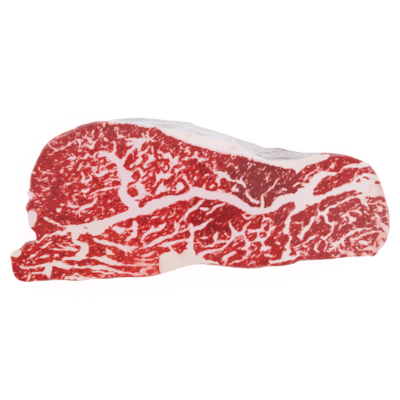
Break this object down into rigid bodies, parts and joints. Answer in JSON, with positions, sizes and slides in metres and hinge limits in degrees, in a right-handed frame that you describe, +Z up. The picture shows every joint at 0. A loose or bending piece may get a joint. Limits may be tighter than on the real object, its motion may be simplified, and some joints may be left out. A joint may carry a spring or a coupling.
{
  "type": "raw boneless beef short rib slice",
  "caption": "Thick slice of raw, heavily marbled boneless beef short rib, cut across the meat, with a fat cap along one side.",
  "frame": {"origin": "middle of the bounding box, on the surface that the slice lies on", "axes": "+X along the slice from the thin flap to the squarer end, +Y towards the fat cap, +Z up out of the upper cut face"},
  "size_m": [0.1898, 0.0816, 0.0309],
  "materials": {
    "marbled_beef": "satin, moist raw beef: red lean with pinkish white marbling and seams, and a pale fat cap"
  },
  "bodies": {
    "root": {"short_rib": "marbled_beef"}
  },
  "joints": []
}
